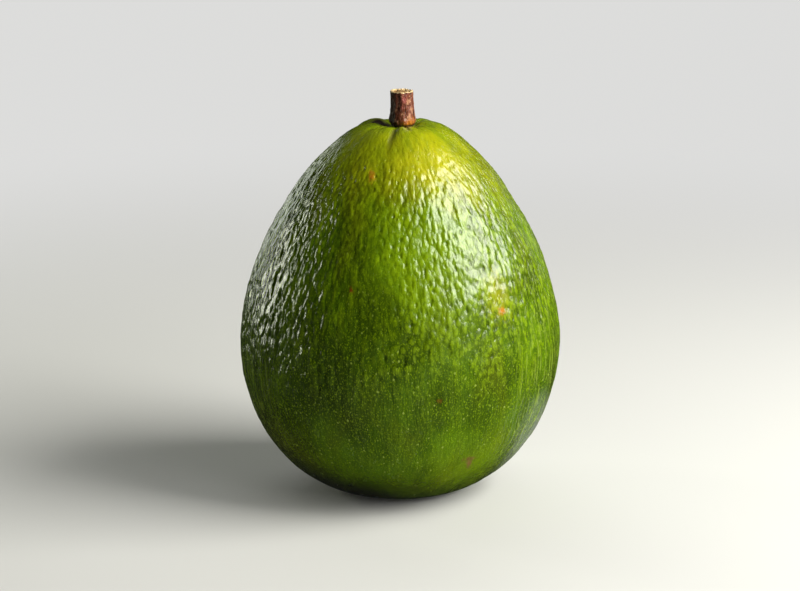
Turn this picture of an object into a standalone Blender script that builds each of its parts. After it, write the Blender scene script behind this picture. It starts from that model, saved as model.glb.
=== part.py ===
"""A whole avocado that stands on the small flat spot at its blossom end.

The object has two pieces. The fruit is one solid, grown in one piece from skin to seed and never cut.
The stem is the short woody stub that stays in the hollow at the top when the fruit is picked.

Run it with: blender --background --python part.py
"""

import math

import bmesh
import bpy
from mathutils import Matrix, Vector

MM = 0.001

# Driving dimensions. The origin is on the table, under the middle of the fruit, with +Z up.
# The front is -Y, the side that the stem leans towards.
WIDTH = 74.0 * MM
SHOULDER_HEIGHT = 86.6 * MM
STEM_BASE_WIDTH = 6.2 * MM
STEM_LENGTH = 7.9 * MM
STEM_LEAN = math.radians(3.5)
CLEARANCE = 0.3 * MM

# How finely the solids are turned.
FRUIT_SEGMENTS = 64
FRUIT_STEPS_PER_SPAN = 3
STEM_SEGMENTS = 28
STEM_STEPS_PER_SPAN = 2

# The fruit's outline from the edge of its flat spot to the edge of the seat that the stem grows from.
# Each point is (radius / half the width, height / shoulder height).
FRUIT_OUTLINE = [
    (0.250, 0.000),
    (0.422, 0.011),
    (0.583, 0.045),
    (0.757, 0.110),
    (0.895, 0.200),
    (0.979, 0.310),
    (1.000, 0.430),
    (0.955, 0.550),
    (0.856, 0.670),
    (0.720, 0.780),
    (0.579, 0.870),
    (0.422, 0.940),
    (0.291, 0.985),
    (0.190, 1.000),
    (0.126, 0.998),
    (0.098, 0.993),
]
SEAT_HEIGHT = FRUIT_OUTLINE[-1][1] * SHOULDER_HEIGHT

# The stem's outline from its foot to its cut end: (radius / half its base width, height / its length).
STEM_OUTLINE = [
    (0.90, 0.00),
    (1.00, 0.07),
    (1.01, 0.15),
    (0.95, 0.26),
    (0.90, 0.45),
    (0.88, 0.70),
    (0.87, 0.93),
    (0.83, 1.00),
]

# The shoulder swells into soft lobes round the hollow: (lobes in a turn, height, turned by in degrees).
SHOULDER_LOBES = [
    (3, 0.22 * MM, 22.0),
    (5, 0.12 * MM, 60.0),
]
# Creases run out of the hollow and fade: (direction from +X in degrees, depth, half width in degrees).
SHOULDER_CREASES = [
    (-98.0, 0.60 * MM, 9.0),
    (-78.0, 0.30 * MM, 7.0),
    (-20.0, 0.15 * MM, 10.0),
    (35.0, 0.20 * MM, 10.0),
    (80.0, 0.40 * MM, 8.0),
    (118.0, 0.30 * MM, 9.0),
    (158.0, 0.95 * MM, 9.0),
    (-142.0, 0.35 * MM, 8.0),
]
LOBES_START_RADIUS = 3.2 * MM
LOBES_FULL_RADIUS = 6.5 * MM
LOBES_END_RADIUS = 19.0 * MM

# The fruit isn't quite round: it is wider one way across by this share of the radius.
OVAL_SHARE = 0.010
OVAL_DIRECTION = 40.0

# The core line of the fruit bends forward above this share of its height, to carry the stem.
BEND_START = 0.45
STEM_FORWARD = 1.5 * MM
# The stem stands a little to one side of the core line, towards +X.
STEM_ASIDE = 0.4 * MM

# The stem isn't quite round: (ridges in a turn, height as a share of the radius, turned by in degrees).
STEM_RIDGES = [
    (3, 0.030, 20.0),
    (7, 0.016, 75.0),
]

SKIN_GREEN = (0.12, 0.20, 0.012)
BARK_BROWN = (0.10, 0.045, 0.025)


def clear_scene():
    """Removes what the file opened with."""
    for obj in list(bpy.data.objects):
        bpy.data.objects.remove(obj)


def smooth_step(value, start, end):
    """0 before start and 1 after end, with a smooth rise between them."""
    share = min(1.0, max(0.0, (value - start) / (end - start)))
    return share * share * (3.0 - 2.0 * share)


def smooth_line(knots, steps_per_span):
    """Points on a Catmull-Rom curve through the knots, which are 2D vectors."""
    first = knots[0] * 2.0 - knots[1]
    last = knots[-1] * 2.0 - knots[-2]
    ends = [first, *knots, last]
    points = []
    for before, start, end, after in zip(ends, ends[1:], ends[2:], ends[3:]):
        for step in range(steps_per_span):
            t = step / steps_per_span
            points.append(
                0.5
                * (
                    2.0 * start
                    + (end - before) * t
                    + (2.0 * before - 5.0 * start + 4.0 * end - after) * t * t
                    + (3.0 * start - before - 3.0 * end + after) * t**3
                )
            )
    points.append(knots[-1])
    return points


def turned_solid(name, outline, segments):
    """A closed solid of revolution about Z. The outline's two open ends are closed with flat faces."""
    bm = bmesh.new()
    line = [bm.verts.new((point.x, 0.0, point.y)) for point in outline]
    for low, high in zip(line, line[1:]):
        bm.edges.new((low, high))
    bmesh.ops.spin(
        bm,
        geom=bm.verts[:] + bm.edges[:],
        axis=(0.0, 0.0, 1.0),
        cent=(0.0, 0.0, 0.0),
        steps=segments,
        angle=math.tau,
    )
    bmesh.ops.remove_doubles(bm, verts=bm.verts[:], dist=0.001 * MM)
    bmesh.ops.holes_fill(bm, edges=[edge for edge in bm.edges if edge.is_boundary], sides=0)
    bmesh.ops.recalc_face_normals(bm, faces=bm.faces[:])
    mesh = bpy.data.meshes.new(name)
    bm.to_mesh(mesh)
    bm.free()
    mesh.shade_smooth()
    mesh.set_sharp_from_angle(angle=math.radians(40.0))
    solid = bpy.data.objects.new(name, mesh)
    bpy.context.scene.collection.objects.link(solid)
    return solid


def angle_between(first, second):
    """The smaller angle between two directions, in degrees."""
    return abs((first - second + 180.0) % 360.0 - 180.0)


def shoulder_height_change(radius, direction):
    """How far the lobes lift, and the creases lower, the shoulder at this radius and direction in degrees."""
    fade = smooth_step(radius, LOBES_START_RADIUS, LOBES_FULL_RADIUS)
    fade *= 1.0 - smooth_step(radius, LOBES_FULL_RADIUS, LOBES_END_RADIUS)
    lobes = sum(
        height * math.cos(math.radians(count * (direction - turned)))
        for count, height, turned in SHOULDER_LOBES
    )
    creases = sum(
        depth * math.exp(-((angle_between(direction, crease) / half_width) ** 2))
        for crease, depth, half_width in SHOULDER_CREASES
    )
    return fade * (lobes - creases)


def forward_at(height):
    """How far the fruit's core line has bent forward, towards -Y, at this height."""
    share = max(0.0, (height / SHOULDER_HEIGHT - BEND_START) / (1.0 - BEND_START))
    return STEM_FORWARD * share * share


def material(name, colour, roughness):
    """A plain finish for a natural surface, which is never metallic."""
    finish = bpy.data.materials.new(name)
    finish.use_nodes = True
    shader = finish.node_tree.nodes["Principled BSDF"]
    shader.inputs["Base Color"].default_value = (*colour, 1.0)
    shader.inputs["Roughness"].default_value = roughness
    shader.inputs["Metallic"].default_value = 0.0
    finish.diffuse_color = (*colour, 1.0)
    return finish


def make_fruit():
    """The whole fruit: an egg shape with a flat spot below and a lobed hollow with a flat seat above."""
    half_width = WIDTH / 2.0
    knots = [
        Vector((radius * half_width, height * SHOULDER_HEIGHT))
        for radius, height in FRUIT_OUTLINE
    ]
    outline = smooth_line(knots, FRUIT_STEPS_PER_SPAN)
    fruit = turned_solid("fruit", outline, FRUIT_SEGMENTS)
    upper_half = 0.5 * SHOULDER_HEIGHT
    for vertex in fruit.data.vertices:
        radius = math.hypot(vertex.co.x, vertex.co.y)
        direction = math.degrees(math.atan2(vertex.co.y, vertex.co.x))
        oval = 1.0 + OVAL_SHARE * math.cos(math.radians(2.0 * (direction - OVAL_DIRECTION)))
        forward = forward_at(vertex.co.z)
        if vertex.co.z > upper_half:
            vertex.co.z += shoulder_height_change(radius, direction)
        vertex.co.x *= oval
        vertex.co.y = vertex.co.y * oval - forward
    fruit.data.materials.append(material("skin", SKIN_GREEN, 0.35))
    return fruit


def make_stem(root):
    """The stub of stem, with a swollen foot, grooved bark and a flat cut end, on an empty in the hollow."""
    half_width = STEM_BASE_WIDTH / 2.0
    knots = [
        Vector((radius * half_width, height * STEM_LENGTH))
        for radius, height in STEM_OUTLINE
    ]
    outline = smooth_line(knots, STEM_STEPS_PER_SPAN)
    stem = turned_solid("stem", outline, STEM_SEGMENTS)
    for vertex in stem.data.vertices:
        direction = math.degrees(math.atan2(vertex.co.y, vertex.co.x))
        swell = 1.0 + sum(
            share * math.cos(math.radians(count * (direction - turned)))
            for count, share, turned in STEM_RIDGES
        )
        vertex.co.x *= swell
        vertex.co.y *= swell
        # The stub leans as it rises, while its foot stays flat on the seat.
        vertex.co.y -= vertex.co.z * math.tan(STEM_LEAN)
    stem.data.materials.append(material("stem_bark", BARK_BROWN, 0.55))
    stem.parent = root
    return stem


def main():
    clear_scene()
    make_fruit()
    stem_root = bpy.data.objects.new("stem_root", None)
    bpy.context.scene.collection.objects.link(stem_root)
    foot_height = SEAT_HEIGHT + CLEARANCE
    stem_root.matrix_world = Matrix.Translation((STEM_ASIDE, -forward_at(SEAT_HEIGHT), foot_height))
    make_stem(stem_root)


main()
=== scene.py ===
# %% [markdown]
# # A whole avocado, from a turned outline to a pebbled, glossy skin
#
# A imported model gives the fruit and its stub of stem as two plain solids. This lesson keeps their sizes and
# makes their looks: a fine skin with real pebbles, pores and small scars, and a dry, grooved stub of wood
# with a pale cut end. Each step says what the real thing is like, and why it is made the way it is.

# %% Load the fixed frame
import math

import bpy
import numpy as np
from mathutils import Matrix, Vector


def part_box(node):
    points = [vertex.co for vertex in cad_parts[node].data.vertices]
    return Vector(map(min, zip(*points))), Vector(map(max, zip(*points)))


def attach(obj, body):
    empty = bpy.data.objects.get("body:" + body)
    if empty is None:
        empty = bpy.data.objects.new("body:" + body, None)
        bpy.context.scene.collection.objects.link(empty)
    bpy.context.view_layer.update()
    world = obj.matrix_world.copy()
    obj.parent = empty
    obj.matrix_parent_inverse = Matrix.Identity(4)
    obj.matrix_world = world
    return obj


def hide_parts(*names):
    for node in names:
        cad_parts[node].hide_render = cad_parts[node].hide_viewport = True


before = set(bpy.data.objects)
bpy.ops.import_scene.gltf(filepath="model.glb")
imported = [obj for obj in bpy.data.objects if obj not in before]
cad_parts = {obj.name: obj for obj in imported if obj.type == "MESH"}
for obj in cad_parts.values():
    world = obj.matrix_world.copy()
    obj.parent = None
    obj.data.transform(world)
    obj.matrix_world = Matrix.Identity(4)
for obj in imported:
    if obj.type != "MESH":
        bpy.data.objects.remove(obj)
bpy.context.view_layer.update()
fruit_low, fruit_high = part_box("fruit")
stem_low, stem_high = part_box("stem")
print("fruit box:", tuple(fruit_low), tuple(fruit_high))
print("stem box:", tuple(stem_low), tuple(stem_high))

# %% [markdown]
# ## The camera
#
# The camera stands back, more than nine fruit widths away, with a long lens. Close by, a wide lens would make the
# round body bulge. The camera is a little above the fruit, so the cut end of the stem shows as a thin ellipse.

# %% Camera
MM = 0.001
CAMERA_LENS = 135.0
CAMERA_DISTANCE = 0.697
CAMERA_ELEVATION = math.radians(14.0)
AIM_HEIGHT = 45.5 * MM


def new_camera():
    """Puts the camera in front of the fruit, on the -Y side, looking at a point on its core line."""
    bpy.ops.object.camera_add()
    camera = bpy.context.object
    camera.name = "camera"
    camera.data.lens = CAMERA_LENS
    camera.location = (
        0.0,
        -CAMERA_DISTANCE * math.cos(CAMERA_ELEVATION),
        AIM_HEIGHT + CAMERA_DISTANCE * math.sin(CAMERA_ELEVATION),
    )
    camera.rotation_euler = (math.pi / 2.0 - CAMERA_ELEVATION, 0.0, 0.0)
    bpy.context.scene.camera = camera
    return camera


new_camera()

# %% [markdown]
# ## A small kit for node trees
#
# The relief is made by Geometry Nodes and the colour by shader nodes. Both kinds of tree have the same noise
# and maths nodes, so one set of helpers builds patterns in either, and a pattern that shapes the skin can also
# colour it. Sizes are in millimetres: a noise of size 2 has lumps about 2 mm across.

# %% Nodes and sums
def add_node(tree, kind, inputs=(), **settings):
    """Adds a node. Settings are its properties. Each input takes a value, or a socket that is linked to it."""
    node = tree.nodes.new(kind)
    for name, value in settings.items():
        setattr(node, name, value)
    for name, value in dict(inputs).items():
        if isinstance(value, bpy.types.NodeSocket):
            tree.links.new(value, node.inputs[name])
        else:
            node.inputs[name].default_value = value
    return node


def maths(tree, operation, first, second=0.0, third=0.0, clamp=False):
    """A Math node's result."""
    inputs = {0: first, 1: second, 2: third}
    return add_node(tree, "ShaderNodeMath", inputs, operation=operation, use_clamp=clamp).outputs[0]


def product(tree, *values):
    """Several values multiplied together."""
    result = values[0]
    for value in values[1:]:
        result = maths(tree, "MULTIPLY", result, value)
    return result


def total(tree, *values):
    """Several values added together."""
    result = values[0]
    for value in values[1:]:
        result = maths(tree, "ADD", result, value)
    return result


def rise(tree, value, start, end, low=0.0, high=1.0):
    """Goes smoothly from low to high as the value goes from start to end."""
    inputs = {"Value": value, "From Min": start, "From Max": end, "To Min": low, "To Max": high}
    made = add_node(tree, "ShaderNodeMapRange", inputs, interpolation_type="SMOOTHSTEP")
    return made.outputs["Result"]


print("number helpers ready")

# %% [markdown]
# ### Patterns
#
# Noise gives soft patterns, and Voronoi cells give patterns with borders. Both first divide the place by a size,
# and by size times stretch along the grain, so that one number makes a pattern longer that way. A seed shifts
# each pattern to a part of its own, so no two lie on top of each other.

# %% Noise and cells
def scaled(tree, place, size, stretch, seed):
    """A place divided by a size, and by size times stretch along the grain, then shifted by a seed."""
    shift = (17.3 * seed, 7.9 * seed, 3.1 * seed)
    steps = (1.0 / size, 1.0 / size, 1.0 / (size * stretch))
    inputs = {0: place, 1: steps, 2: shift}
    return add_node(tree, "ShaderNodeVectorMath", inputs, operation="MULTIPLY_ADD").outputs["Vector"]


def noise(tree, place, size, stretch=1.0, detail=2.0, roughness=0.5, seed=0.0):
    """Soft noise from about 0 to 1."""
    inputs = {
        "Vector": scaled(tree, place, size, stretch, seed),
        "Scale": 1.0,
        "Detail": detail,
        "Roughness": roughness,
    }
    return add_node(tree, "ShaderNodeTexNoise", inputs, noise_dimensions="3D").outputs[0]


def cells(tree, place, size, stretch=1.0, smoothness=None, randomness=1.0, seed=0.0):
    """Voronoi cells: the distance from the middle of the cell, and the cell's own random colour."""
    inputs = {
        "Vector": scaled(tree, place, size, stretch, seed),
        "Scale": 1.0,
        "Randomness": randomness,
    }
    feature = "F1"
    if smoothness is not None:
        feature = "SMOOTH_F1"
        inputs["Smoothness"] = smoothness
    made = add_node(tree, "ShaderNodeTexVoronoi", inputs, voronoi_dimensions="3D", feature=feature)
    return made.outputs["Distance"], made.outputs["Color"]


def wandered(tree, place, size, reach, seed):
    """A place moved about by noise, so that a pattern on it has no straight rows."""
    inputs = {"Vector": scaled(tree, place, size, 1.0, seed), "Scale": 1.0, "Detail": 1.0}
    made = add_node(tree, "ShaderNodeTexNoise", inputs, noise_dimensions="3D")
    centred = add_node(
        tree, "ShaderNodeVectorMath", {0: made.outputs["Color"], 1: (0.5, 0.5, 0.5)}, operation="SUBTRACT"
    )
    inputs = {0: centred.outputs["Vector"], 1: (reach, reach, reach), 2: place}
    return add_node(tree, "ShaderNodeVectorMath", inputs, operation="MULTIPLY_ADD").outputs["Vector"]


print("pattern helpers ready")

# %% [markdown]
# ### Places and colours
#
# A place on the object decides where a pattern or a colour goes: how high it is, which side it is on, or how
# near a chosen point. Each of these gives a share, and a Mix node lays one colour over another by it.

# %% Places and colours
def height_in_mm(tree, position):
    """The height of a position in metres, in millimetres."""
    split = add_node(tree, "ShaderNodeSeparateXYZ", {0: position})
    return maths(tree, "MULTIPLY", split.outputs["Z"], 1000.0)


def sideways(tree, position):
    """Which way a point is from the core line: 1 to the right, 0 to the front and back, -1 to the left."""
    flat = add_node(tree, "ShaderNodeVectorMath", {0: position, 1: (1.0, 1.0, 0.0)}, operation="MULTIPLY")
    toward = add_node(tree, "ShaderNodeVectorMath", {0: flat.outputs["Vector"]}, operation="NORMALIZE")
    return add_node(tree, "ShaderNodeSeparateXYZ", {0: toward.outputs["Vector"]}).outputs["X"]


def near_point(tree, position, centre, size, ragged=None):
    """1 at a centre given in mm, falling to 0 at the edge of a soft oval of this size in mm."""
    steps = tuple(1000.0 / length for length in size)
    shift = tuple(-middle / length for middle, length in zip(centre, size))
    centred = add_node(tree, "ShaderNodeVectorMath", {0: position, 1: steps, 2: shift}, operation="MULTIPLY_ADD")
    away = add_node(tree, "ShaderNodeVectorMath", {0: centred.outputs["Vector"]}, operation="LENGTH")
    far = away.outputs["Value"]
    if ragged is not None:
        far = total(tree, far, ragged)
    return rise(tree, far, 0.0, 1.0, 1.0, 0.0)


def mixed(tree, share, first, second, blend="MIX"):
    """One colour over another, by a share from 0 to 1."""
    inputs = {"Factor": share, 6: first, 7: second}
    made = add_node(tree, "ShaderNodeMix", inputs, data_type="RGBA", blend_type=blend, clamp_factor=True)
    return made.outputs[2]


def new_material(name):
    """A material with its tree emptied down to the Principled shader, and that shader."""
    made = bpy.data.materials.new(name)
    made.use_nodes = True
    return made, made.node_tree, made.node_tree.nodes["Principled BSDF"]


print("place and colour helpers ready")

# %% [markdown]
# ## The studio
#
# A waxy skin shows its shape through what it reflects. The key light on the right makes the broad highlight
# that the pebbles break up. A narrow edge light on the left puts small glints on the wrinkled flank, and two weak
# rim lights behind the fruit draw its outline. The broad light and the overhead light are there for the colour
# alone, so they are left out of reflections: a second highlight would flatten the dark side.

# %% Lights
# Each light is (name, direction, distance, size, power, colour, seen in reflections).
LIGHTS = [
    ("key_light", (0.80, -0.215, 0.585), 0.55, (0.43, 0.37), 5.2, (1.0, 0.985, 0.91), True),
    ("broad_light", (0.72, -0.62, 0.24), 0.70, (0.50, 0.40), 2.6, (1.0, 0.99, 0.95), False),
    ("edge_light", (-0.84, 0.42, 0.03), 0.60, (0.085, 0.44), 1.5, (0.96, 1.0, 0.80), True),
    ("left_rim_light", (-0.50, 0.86, -0.01), 0.80, (0.26, 0.50), 0.7, (0.94, 1.0, 0.88), True),
    ("right_rim_light", (0.52, 0.85, -0.01), 0.80, (0.30, 0.34), 0.09, (0.98, 1.0, 0.85), True),
    ("overhead_light", (-0.10, 0.80, 0.60), 1.40, (1.60, 1.10), 6.0, (1.0, 1.0, 1.0), False),
]


def soft_light(name, direction, distance, size, power, colour, in_reflections):
    """A rectangular area light that faces the middle of the fruit, and may be left out of reflections."""
    toward = Vector(direction).normalized()
    bpy.ops.object.light_add(type="AREA", location=Vector((0.0, 0.0, AIM_HEIGHT)) + toward * distance)
    light = bpy.context.object
    light.name = name
    light.data.shape = "RECTANGLE"
    light.data.size, light.data.size_y = size
    light.data.energy = power
    light.data.color = colour
    light.rotation_euler = toward.to_track_quat("Z", "Y").to_euler()
    light.visible_glossy = in_reflections
    return light


for light_settings in LIGHTS:
    soft_light(*light_settings)
print("lights:", [light_settings[0] for light_settings in LIGHTS])

# %% [markdown]
# ## The floor and the room
#
# The floor is a plain pale sheet of paper. Further out it fades, for the camera, into the colour of the room, as
# a paper sweep does, so no horizon cuts across behind the fruit. In a reflection the pale paper would be a band
# under the whole body and hide how dark the skin is there. So reflections see a dark table with one small bright
# card painted on it, a glowing patch that gives light though it is no lamp, behind the fruit on the right, which
# lifts the edge of the underside.

# %% Floor and room
FLOOR_SIZE = 6.0
FLOOR_COLOUR = (0.70, 0.70, 0.69, 1.0)
FLOOR_ROUGHNESS = 0.8
ROOM_COLOUR = (0.72, 0.72, 0.71, 1.0)
ROOM_LIGHT = 0.012
CARD_PLACE = (0.048, 0.020, 0.0)
CARD_BRIGHTNESS = 0.47
CARD_CORE = 0.010
CARD_EDGE = 0.038
PAPER_FADE_START = 0.10
PAPER_FADE_END = 0.42

bpy.ops.mesh.primitive_plane_add(size=FLOOR_SIZE, location=(0.0, 0.0, 0.0))
floor = bpy.context.object
floor.name = "floor"
paper, tree, shader = new_material("floor_paper")
shader.inputs["Base Color"].default_value = FLOOR_COLOUR
shader.inputs["Roughness"].default_value = FLOOR_ROUGHNESS
rays = add_node(tree, "ShaderNodeLightPath")
place = add_node(tree, "ShaderNodeTexCoord").outputs["Object"]
from_card = add_node(tree, "ShaderNodeVectorMath", {0: place, 1: CARD_PLACE}, operation="DISTANCE")
# The card is a glowing patch painted into the floor, and only reflections see it.
card_strength = rise(tree, from_card.outputs["Value"], CARD_CORE, CARD_EDGE, CARD_BRIGHTNESS, ROOM_LIGHT)
card = add_node(tree, "ShaderNodeEmission", {"Strength": card_strength})
backdrop = add_node(tree, "ShaderNodeEmission", {"Color": ROOM_COLOUR})
from_fruit = add_node(tree, "ShaderNodeVectorMath", {0: place}, operation="LENGTH").outputs["Value"]
faded = rise(tree, from_fruit, PAPER_FADE_START, PAPER_FADE_END)
backdrop_share = product(tree, rays.outputs["Is Camera Ray"], faded)
seen = add_node(tree, "ShaderNodeMixShader", {0: backdrop_share, 1: shader.outputs[0], 2: backdrop.outputs[0]})
reflected = rays.outputs["Is Glossy Ray"]
choice = add_node(tree, "ShaderNodeMixShader", {0: reflected, 1: seen.outputs[0], 2: card.outputs[0]})
tree.links.new(choice.outputs[0], tree.nodes["Material Output"].inputs[0])
floor.data.materials.append(paper)

room = bpy.data.worlds.new("room")
bpy.context.scene.world = room
room.use_nodes = True
tree = room.node_tree
background = tree.nodes["Background"]
background.inputs["Color"].default_value = ROOM_COLOUR
seen_directly = add_node(tree, "ShaderNodeLightPath").outputs["Is Camera Ray"]
tree.links.new(rise(tree, seen_directly, 0.0, 1.0, ROOM_LIGHT, 1.0), background.inputs["Strength"])
print("the paper fades into the room between", PAPER_FADE_START, "and", PAPER_FADE_END, "m from the fruit")

# %% [markdown]
# ## One outline for the fruit
#
# An avocado is nearly a solid of revolution, so its shape starts as one line from the middle of the flat spot
# up to the seat of the stem. A Catmull-Rom curve goes through each point of the outline and stays smooth
# between them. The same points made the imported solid, so the two surfaces agree.

# %% The fruit's outline
WIDTH = 74.0 * MM
SHOULDER_HEIGHT = 86.6 * MM
# Each point is (radius / half the width, height / shoulder height), from the flat spot's edge to the seat.
# The shoulder height and the radii from 0.422 up to 0.291 were fitted by another program and then rounded.
# The heights and the other points are chosen.
FRUIT_OUTLINE = [
    (0.250, 0.000),
    (0.422, 0.011),
    (0.583, 0.045),
    (0.757, 0.110),
    (0.895, 0.200),
    (0.979, 0.310),
    (1.000, 0.430),
    (0.955, 0.550),
    (0.856, 0.670),
    (0.720, 0.780),
    (0.579, 0.870),
    (0.422, 0.940),
    (0.291, 0.985),
    (0.190, 1.000),
    (0.126, 0.998),
    (0.098, 0.993),
]
SEAT_HEIGHT = FRUIT_OUTLINE[-1][1] * SHOULDER_HEIGHT


def smooth_line(knots, steps_per_span=40):
    """Points on a Catmull-Rom curve through the knots, an array of 2D points."""
    first = 2.0 * knots[0] - knots[1]
    last = 2.0 * knots[-1] - knots[-2]
    ends = np.vstack([first, knots, last])
    t = np.linspace(0.0, 1.0, steps_per_span, endpoint=False)[:, None]
    spans = []
    for before, start, end, after in zip(ends, ends[1:], ends[2:], ends[3:]):
        spans.append(
            0.5
            * (
                2.0 * start
                + (end - before) * t
                + (2.0 * before - 5.0 * start + 4.0 * end - after) * t**2
                + (3.0 * start - before - 3.0 * end + after) * t**3
            )
        )
    return np.vstack([*spans, knots[-1:]])


def length_along(line):
    """How far each point is along a line, starting from 0."""
    return np.concatenate([[0.0], np.cumsum(np.linalg.norm(np.diff(line, axis=0), axis=1))])


def respaced(line, spacing_bands):
    """The line with new points. Each band is (where it ends along the line, the gap between its points)."""
    along = length_along(line)
    stops = [0.0]
    for band_end, gap in spacing_bands:
        band_end = min(band_end, along[-1])
        count = max(1, round((band_end - stops[-1]) / gap))
        stops.extend(np.linspace(stops[-1], band_end, count + 1)[1:])
    return np.column_stack([np.interp(stops, along, line[:, 0]), np.interp(stops, along, line[:, 1])])


fruit_knots = np.array(FRUIT_OUTLINE) * (WIDTH / 2.0, SHOULDER_HEIGHT)
turned_part = smooth_line(fruit_knots)
flat_middle = np.array([[0.0, 0.0]])
seat_middle = np.array([[0.0, fruit_knots[-1][1]]])
fruit_line = np.vstack([flat_middle, turned_part, seat_middle])
print("the outline is", round(length_along(fruit_line)[-1] / MM, 1), "mm long")

# %% [markdown]
# ## Turning the line into a body
#
# The line becomes a curve object, then a mesh, and the Spin operator sweeps it once round the Z axis. The
# rows lie closer together where the pebbles are, and closest in the hollow at the stem. Spin leaves a seam and
# a pile of points at each pole, so doubles are merged, and the faces are then made to point outwards.

# %% Spin
FRUIT_SEGMENTS = 516
FRUIT_SPACING = [
    (9.3 * MM, 1.15 * MM),
    (40.0 * MM, 1.05 * MM),
    (112.0 * MM, 0.62 * MM),
    (130.0 * MM, 0.45 * MM),
    (1.0, 0.38 * MM),
]
MERGE_DISTANCE = 1e-7


def deselect_everything():
    """Operators act on what is selected, so each step starts from nothing."""
    if bpy.context.mode != "OBJECT":
        bpy.ops.object.mode_set(mode="OBJECT")
    bpy.ops.object.select_all(action="DESELECT")


def line_object(name, line):
    """A curve through the outline's points in the XZ plane, converted to a mesh."""
    curve = bpy.data.curves.new(name, "CURVE")
    curve.dimensions = "3D"
    spline = curve.splines.new("POLY")
    spline.points.add(len(line) - 1)
    for point, (radius, height) in zip(spline.points, line):
        point.co = (radius, 0.0, height, 1.0)
    made = bpy.data.objects.new(name, curve)
    bpy.context.scene.collection.objects.link(made)
    deselect_everything()
    made.select_set(True)
    bpy.context.view_layer.objects.active = made
    bpy.ops.object.convert(target="MESH")
    return bpy.context.object


def turned(name, line, segments):
    """Sweeps a line once round Z into a closed body with its faces pointing outwards."""
    made = line_object(name, line)
    bpy.ops.object.mode_set(mode="EDIT")
    bpy.ops.mesh.select_all(action="SELECT")
    bpy.ops.mesh.spin(steps=segments, angle=math.tau, center=(0.0, 0.0, 0.0), axis=(0.0, 0.0, 1.0))
    bpy.ops.mesh.select_all(action="SELECT")
    bpy.ops.mesh.remove_doubles(threshold=MERGE_DISTANCE)
    bpy.ops.mesh.normals_make_consistent(inside=False)
    bpy.ops.object.mode_set(mode="OBJECT")
    bpy.ops.object.shade_smooth()
    return made


def corners(piece):
    """The mesh's points as an array."""
    found = np.empty(len(piece.data.vertices) * 3, np.float32)
    piece.data.vertices.foreach_get("co", found)
    return found.reshape(-1, 3).astype(float)


def move_corners(piece, points):
    """Writes the mesh's points back."""
    piece.data.vertices.foreach_set("co", points.astype(np.float32).ravel())
    piece.data.update()


fruit_rows = respaced(fruit_line, FRUIT_SPACING)
skin = turned("skin", fruit_rows, FRUIT_SEGMENTS)
print("the turned skin has", len(skin.data.polygons), "faces")

# %% [markdown]
# ## A coordinate that follows the skin
#
# Everything on the skin runs with its growth, from the blossom end to the stem: pebbles are longer that way,
# and near the stem they crowd into fine streaks. So each point keeps an address in millimetres: its direction
# round the core on a drum that narrows slowly, and its distance along the outline. Textures read this address
# in place of the plain position, in the relief and in the material alike, which keeps the two in step.

# %% Store the address
DRUM_NARROWING = 0.55


def store_address(piece, rows, name, narrowing):
    """Stores (drum x, drum y, distance along the outline) in millimetres on every point."""
    points = corners(piece)
    radius = np.hypot(points[:, 0], points[:, 1])
    # A turned mesh repeats the outline in each direction, so a point's row is the one nearest to it.
    places = np.round(np.column_stack([radius, points[:, 2]]), 6)
    found, which = np.unique(places, axis=0, return_inverse=True)
    nearest = [np.argmin(np.sum((rows - place) ** 2, axis=1)) for place in found]
    far = length_along(rows)[nearest][which.ravel()]
    widest = rows[:, 0].max()
    radius = np.maximum(radius, 1e-6)
    drum = widest * (radius / widest) ** narrowing
    turned_round = points[:, :2] * (drum / radius)[:, None]
    address = np.column_stack([turned_round, far]) / MM
    layer = piece.data.attributes.new(name, "FLOAT_VECTOR", "POINT")
    layer.data.foreach_set("vector", address.astype(np.float32).ravel())


store_address(skin, fruit_rows, "skin_address", DRUM_NARROWING)
print("the address runs to", round(length_along(fruit_rows)[-1] / MM, 1), "mm along the outline")


# %% [markdown]
# ## From a turned body to this fruit
#
# No fruit is quite round. This one is a little wider one way across, its core line bends forward to carry the
# stem, and its shoulder has soft lobes with creases between them that run out of the hollow. Each is a small
# move of the mesh's points, worked out from how far a point is from the core line and in which direction.

# %% Lobes, creases, oval and bend
SHOULDER_LOBES = [(3, 0.22 * MM, 22.0), (5, 0.12 * MM, 60.0)]
SHOULDER_CREASES = [
    (-98.0, 0.60 * MM, 9.0),
    (-78.0, 0.30 * MM, 7.0),
    (-20.0, 0.15 * MM, 10.0),
    (35.0, 0.20 * MM, 10.0),
    (80.0, 0.40 * MM, 8.0),
    (118.0, 0.30 * MM, 9.0),
    (158.0, 0.95 * MM, 9.0),
    (-142.0, 0.35 * MM, 8.0),
]
LOBES_START_RADIUS = 3.2 * MM
LOBES_FULL_RADIUS = 6.5 * MM
LOBES_END_RADIUS = 19.0 * MM
OVAL_SHARE = 0.010
OVAL_DIRECTION = 40.0
BEND_START = 0.45
STEM_FORWARD = 1.5 * MM


def smooth_step(value, start, end):
    """0 before start and 1 after end, with a smooth rise between them."""
    share = np.clip((value - start) / (end - start), 0.0, 1.0)
    return share * share * (3.0 - 2.0 * share)


def angle_between(first, second):
    """The smaller angle between two directions, in degrees."""
    return np.abs((first - second + 180.0) % 360.0 - 180.0)


def shoulder_height_change(radius, direction):
    """How far the lobes lift, and the creases lower, the shoulder at this radius and direction in degrees."""
    fade = smooth_step(radius, LOBES_START_RADIUS, LOBES_FULL_RADIUS)
    fade = fade * (1.0 - smooth_step(radius, LOBES_FULL_RADIUS, LOBES_END_RADIUS))
    lobes = sum(
        height * np.cos(np.radians(count * (direction - turned)))
        for count, height, turned in SHOULDER_LOBES
    )
    creases = sum(
        depth * np.exp(-((angle_between(direction, crease) / half_width) ** 2))
        for crease, depth, half_width in SHOULDER_CREASES
    )
    return fade * (lobes - creases)


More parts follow.
